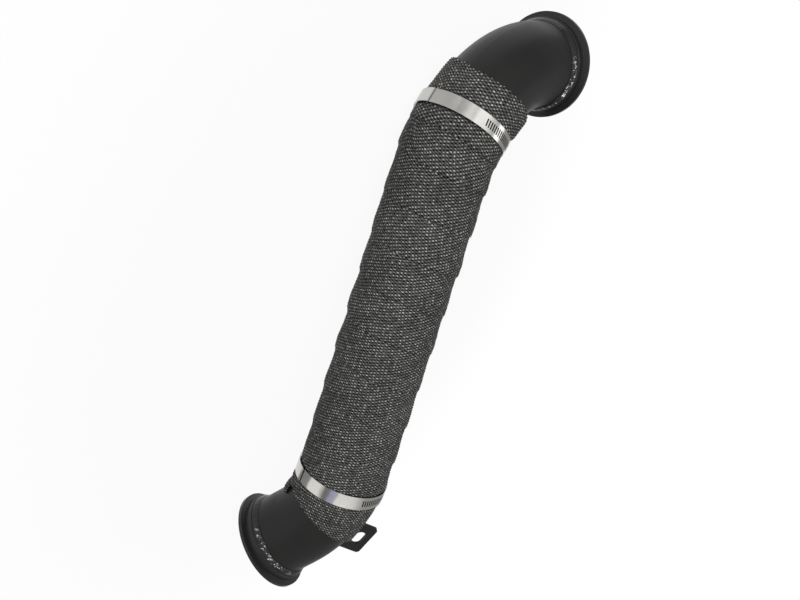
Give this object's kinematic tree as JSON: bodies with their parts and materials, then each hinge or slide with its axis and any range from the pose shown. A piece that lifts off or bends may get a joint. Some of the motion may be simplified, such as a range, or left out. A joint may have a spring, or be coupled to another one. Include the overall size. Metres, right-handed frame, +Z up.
{
  "type": "turbo downpipe",
  "caption": "Bent steel exhaust tube with a V-band flange at each end, wrapped in woven heat tape held by worm-drive clamps, with a slotted bracket.",
  "frame": {"origin": "centre of the bounding box's base, on the floor that the pipe lies on", "axes": "+X along the longest extent, towards the outlet end; +Z up as it lies"},
  "size_m": [0.5874, 0.167, 0.1189],
  "materials": {
    "tube_paint": "satin black heat paint",
    "flange_paint": "satin black heat paint over machined steel",
    "weld_paint": "painted weld",
    "wrap_tape": "woven glass tape, charcoal",
    "clamp_band": "bright stainless strip",
    "clamp_housing": "pressed stainless",
    "clamp_screw": "zinc plated screw"
  },
  "bodies": {
    "root": {"tube": "tube_paint", "inlet_flange": "flange_paint", "outlet_flange": "flange_paint", "inlet_weld": "weld_paint", "outlet_weld": "weld_paint", "bracket": "tube_paint", "bracket_weld": "weld_paint", "wrap": "wrap_tape", "lower_clamp_band": "clamp_band", "lower_clamp_housing": "clamp_housing", "lower_clamp_saddle": "clamp_housing", "lower_clamp_screw": "clamp_screw", "upper_clamp_band": "clamp_band", "upper_clamp_housing": "clamp_housing", "upper_clamp_saddle": "clamp_housing", "upper_clamp_screw": "clamp_screw"}
  },
  "joints": []
}
